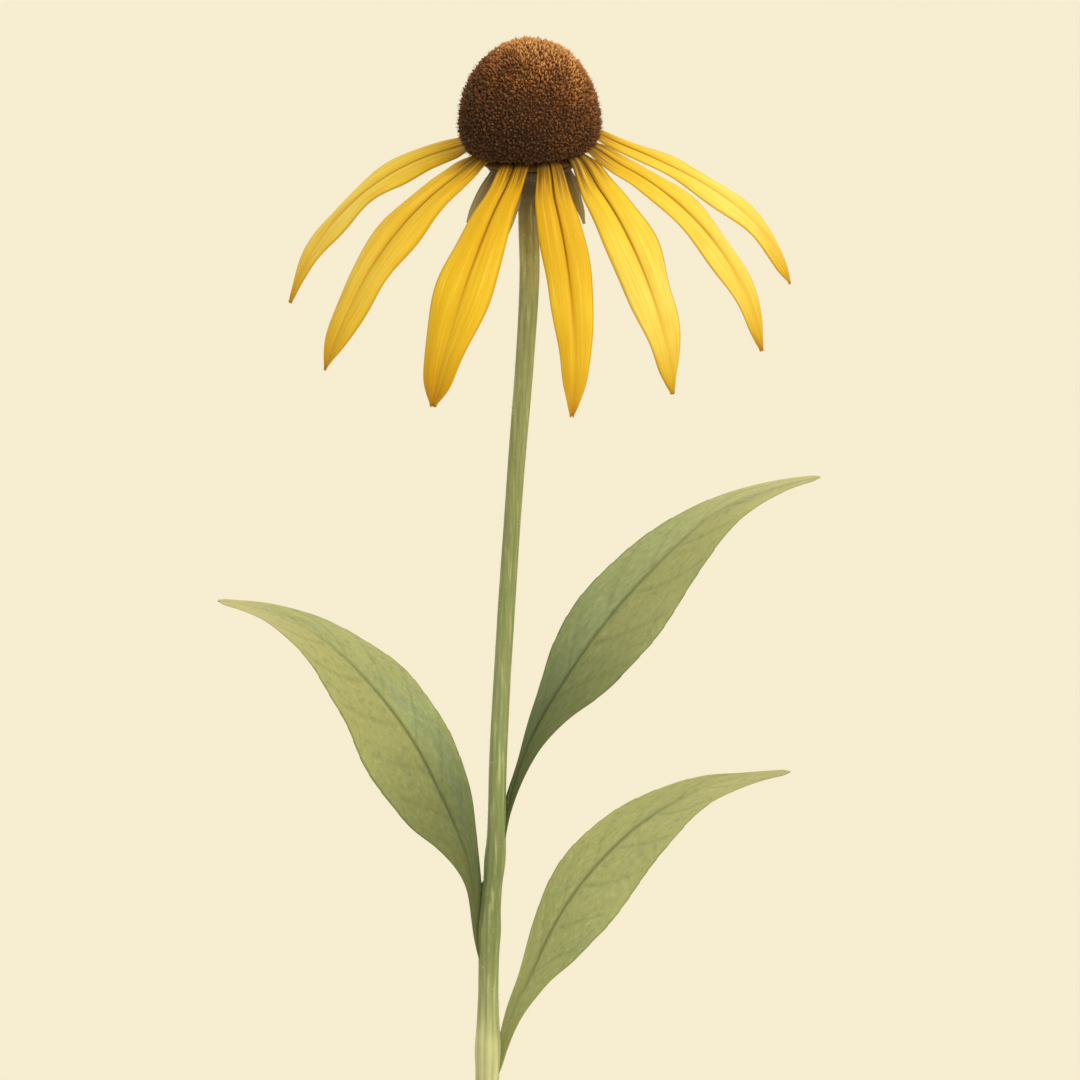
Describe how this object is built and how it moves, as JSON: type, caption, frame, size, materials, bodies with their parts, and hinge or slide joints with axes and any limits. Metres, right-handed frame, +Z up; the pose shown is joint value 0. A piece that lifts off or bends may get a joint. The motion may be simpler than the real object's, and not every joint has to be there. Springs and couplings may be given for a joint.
{
  "type": "yellow coneflower in vase",
  "caption": "Single yellow coneflower with a domed brown cone, drooping ray petals and a leafy stem, standing in a plain pale bud vase.",
  "frame": {"origin": "centre of the vase's flat foot, on the surface that it stands on", "axes": "+Z up, the flower faces -Y, +X to the right as seen from the front"},
  "size_m": [0.1207, 0.0958, 0.3628],
  "materials": {
    "glaze": "satin",
    "water": "gloss",
    "stem": "matte",
    "bracts": "matte",
    "petals": "matte",
    "florets": "matte",
    "leaves": "matte"
  },
  "bodies": {
    "root": {"vase": "glaze", "water": "water", "stem": "stem", "involucre": "bracts", "ray_petals": "petals", "cone": "florets", "leaf_left": "leaves", "leaf_upper_right": "leaves", "leaf_lower_right": "leaves"}
  },
  "joints": []
}
